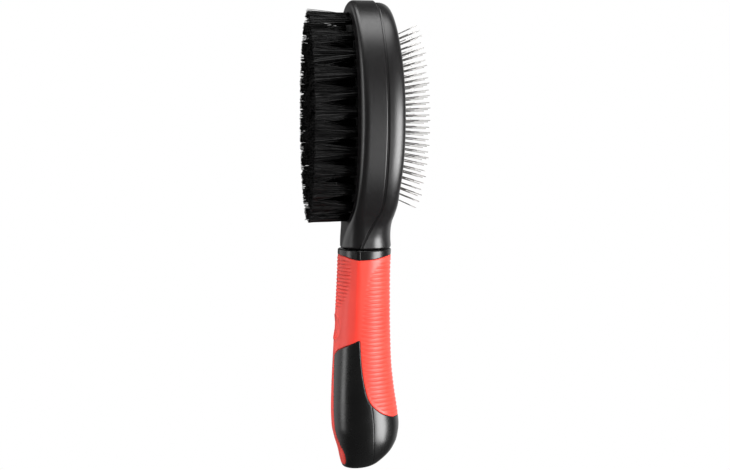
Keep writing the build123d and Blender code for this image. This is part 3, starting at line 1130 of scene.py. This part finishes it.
def pin_places():
    """The feet of all pins on the cushion, as (y, z) about the head's centre."""
    places = []
    for row in range(PIN_ROWS):
        from_middle = row - PIN_ROWS // 2
        y = from_middle * PIN_ROW_SPACING
        reach = PIN_FIELD[0] * math.sqrt(1 - (y / PIN_FIELD[1]) ** 2)
        shift = abs(from_middle) * PIN_ROW_BOW
        if row % 2 == 0:
            shift += PIN_PITCH / 2
        count = int(PIN_FIELD[0] / PIN_PITCH) + 1
        heights = [shift + k * PIN_PITCH for k in range(-count, count + 1)]
        places += [(y, z) for z in heights if abs(z) <= reach]
    return places


def dome_surface(share, angle, sink=0.0):
    """A point of the cushion's crown at a share of the way from its middle to its edge."""
    radius = (PIN_WINDOW[1] ** 2 + CUSHION_RISE**2) / (2 * CUSHION_RISE)
    across = share * (PIN_WINDOW[1] - CUSHION_CLEARANCE)
    x = CUSHION_EDGE_X + CUSHION_RISE - radius + np.sqrt(radius**2 - across**2) - sink
    y = across * np.cos(angle)
    z = HEAD_Z + share * (PIN_WINDOW[0] - CUSHION_CLEARANCE) * np.sin(angle)
    return np.stack([x + 0 * y, y, z], -1)


def cushion_piece(material):
    """The crowned rubber cushion, dimpled where each pin comes through."""
    rings, spokes = 74, 240
    share = np.linspace(0.004, 1, rings)[:, None]
    angle = np.linspace(0, 2 * math.pi, spokes + 1)[None, :-1]
    crown = dome_surface(share, angle)
    dimple = np.zeros(crown.shape[:2])
    for y, z in pin_places():
        away = np.hypot(crown[..., 1] - y, crown[..., 2] - HEAD_Z - z)
        dimple = np.maximum(dimple, np.exp(-((away / DIMPLE_RADIUS) ** 2)))
    crown[..., 0] -= DIMPLE_DEPTH * dimple
    edge = crown[-1]
    skirt = [edge - np.array([d, 0, 0]) for d in CUSHION_SKIRT]
    under = dome_surface(share[::-1], angle, sink=CUSHION_THICKNESS)
    under = under * np.array([1, CUSHION_UNDERSIDE_WIDTH, 1])
    grid = np.concatenate([crown, np.array(skirt), under])
    rows = grid.shape[0]
    points = grid.reshape(-1, 3)
    faces = []
    for row in range(rows - 1):
        here, beyond = row * spokes, (row + 1) * spokes
        for spoke in range(spokes):
            following = (spoke + 1) % spokes
            faces.append((here + spoke, here + following, beyond + following, beyond + spoke))
    faces.append(tuple(reversed(range(spokes))))
    faces.append(tuple((rows - 1) * spokes + spoke for spoke in range(spokes)))
    piece = make_piece("pin_cushion_dome", points, faces, material, "brush")
    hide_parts("pin_cushion")
    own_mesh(piece)


# ---------------------------------------------------------------- CAD nodes that stay


def finish_cad_nodes(materials):
    """Gives the carried-over nodes their materials."""
    for name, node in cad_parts.items():
        if name.startswith("pin_row"):
            node.data.materials.clear()
            node.data.materials.append(materials["pin_steel"])
        elif name in ("bristle_plate", "cushion_tray"):
            node.data.materials.clear()
            node.data.materials.append(materials["inner_plastic"])
        elif name == "tuft_anchor_staples":
            node.data.materials.clear()
            node.data.materials.append(materials["anchor_metal"])


# ---------------------------------------------------------------- studio


def floor_material():
    """Evenly lit white floor paper."""
    coat = Nodes("floor_paper")
    coat.set(Roughness=1.0, Emission_Strength=1.0)
    coat.shader.inputs["Base Color"].default_value = (0, 0, 0, 1)
    coat.shader.inputs["Specular IOR Level"].default_value = 0.0
    coat.shader.inputs["Emission Color"].default_value = (1, 1, 1, 1)
    return coat.material


def add_floor():
    """A wide pale floor under the brush."""
    mesh = bpy.data.meshes.new("studio_floor")
    signs = [(-1, -1), (1, -1), (1, 1), (-1, 1)]
    corners = [(x * FLOOR_HALF, y * FLOOR_HALF, 0) for x, y in signs]
    mesh.from_pydata(corners, [], [(0, 1, 2, 3)])
    floor = bpy.data.objects.new("studio_floor", mesh)
    floor.location.z = cad_box[0][2]
    floor.visible_diffuse = False
    floor.visible_glossy = False
    floor.visible_shadow = False
    bpy.context.scene.collection.objects.link(floor)
    mesh.materials.append(floor_material())


def world_card(tree, direction, turn, heights, power, softness):
    """Light from an upright card: the middle of its direction, its half turn and its heights."""
    azimuth = math.radians(turn[0])
    toward = (math.sin(azimuth), -math.cos(azimuth), 0.0)
    flat = tree.nodes.new("ShaderNodeVectorMath")
    flat.operation = "MULTIPLY"
    flat.inputs[1].default_value = (1, 1, 0)
    tree.links.new(direction, flat.inputs[0])
    unit = tree.nodes.new("ShaderNodeVectorMath")
    unit.operation = "NORMALIZE"
    tree.links.new(flat.outputs[0], unit.inputs[0])
    dot = tree.nodes.new("ShaderNodeVectorMath")
    dot.operation = "DOT_PRODUCT"
    dot.inputs[1].default_value = toward
    tree.links.new(unit.outputs[0], dot.inputs[0])
    split = tree.nodes.new("ShaderNodeSeparateXYZ")
    tree.links.new(direction, split.inputs[0])
    across = range_node(
        tree,
        dot.outputs["Value"],
        math.cos(math.radians(turn[1] + softness)),
        math.cos(math.radians(max(turn[1] - softness, 0))),
        power,
    )
    low = [math.sin(math.radians(h)) for h in (heights[0] - softness, heights[0] + softness)]
    high = [math.sin(math.radians(h)) for h in (heights[1] + softness, heights[1] - softness)]
    above = range_node(tree, split.outputs["Z"], low[0], low[1], 1.0)
    below = range_node(tree, split.outputs["Z"], high[0], high[1], 1.0)
    return combine(tree, combine(tree, across, above), below)


def range_node(tree, value, start, end, top):
    """0 before start, top after end, and a smooth turn between them."""
    node = tree.nodes.new("ShaderNodeMapRange")
    node.interpolation_type = "SMOOTHSTEP"
    node.inputs["From Min"].default_value = start
    node.inputs["From Max"].default_value = end
    node.inputs["To Min"].default_value = 0.0
    node.inputs["To Max"].default_value = top
    tree.links.new(value, node.inputs["Value"])
    return node.outputs["Result"]


def combine(tree, first, second, operation="MULTIPLY"):
    """The product of two values, or what else a math operation makes of them."""
    node = tree.nodes.new("ShaderNodeMath")
    node.operation = operation
    tree.links.new(first, node.inputs[0])
    if isinstance(second, float):
        node.inputs[1].default_value = second
    else:
        tree.links.new(second, node.inputs[1])
    return node.outputs["Value"]


def add_lights():
    """A white backdrop, with soft light from upright cards, from above and all round."""
    world = bpy.data.worlds.new("studio")
    bpy.context.scene.world = world
    world.use_nodes = True
    tree = world.node_tree
    shade = tree.nodes["Background"]
    direction = tree.nodes.new("ShaderNodeTexCoord").outputs["Generated"]
    total = None
    for turn, heights, power, softness in LIGHT_CARDS:
        card = world_card(tree, direction, turn, heights, power, softness)
        total = card if total is None else combine(tree, total, card, "ADD")
    total = combine(tree, total, FILL_LIGHT, "ADD")
    shade.inputs["Color"].default_value = (1, 1, 1, 1)
    tree.links.new(total, shade.inputs["Strength"])
    backdrop = tree.nodes.new("ShaderNodeBackground")
    backdrop.inputs["Color"].default_value = (1, 1, 1, 1)
    backdrop.inputs["Strength"].default_value = 1.0
    mix = tree.nodes.new("ShaderNodeMixShader")
    ray = tree.nodes.new("ShaderNodeLightPath")
    tree.links.new(ray.outputs["Is Camera Ray"], mix.inputs[0])
    tree.links.new(shade.outputs[0], mix.inputs[1])
    tree.links.new(backdrop.outputs[0], mix.inputs[2])
    tree.links.new(mix.outputs[0], tree.nodes["World Output"].inputs["Surface"])


def add_camera():
    """The camera stands low on the bristle side's near flank, looking slightly down."""
    azimuth, elevation = math.radians(CAMERA_AZIMUTH), math.radians(CAMERA_ELEVATION)
    away = Vector(
        (
            math.sin(azimuth) * math.cos(elevation),
            -math.cos(azimuth) * math.cos(elevation),
            math.sin(elevation),
        )
    )
    data = bpy.data.cameras.new("camera")
    data.lens = CAMERA_LENS
    data.sensor_width = CAMERA_SENSOR
    data.clip_start = 0.01
    data.clip_end = 60
    camera = bpy.data.objects.new("camera", data)
    camera.location = Vector(CAMERA_TARGET) + away * CAMERA_DISTANCE
    camera.rotation_euler = (-away).to_track_quat("-Z", "Y").to_euler()
    bpy.context.scene.collection.objects.link(camera)
    bpy.context.scene.camera = camera


def main():
    """Builds the studio and every piece of the brush."""
    add_camera()
    add_floor()
    add_lights()
    bpy.context.scene.view_settings.view_transform = "Standard"
    materials = {
        "pin_steel": pin_steel(),
        "inner_plastic": inner_plastic(),
        "anchor_metal": anchor_metal(),
    }
    finish_cad_nodes(materials)
    head_pieces(head_plastic())
    handle_pieces(handle_plastic(), grip_rubber())
    tuft_groups(bristle_nylon())
    cushion_piece(cushion_rubber())


main()
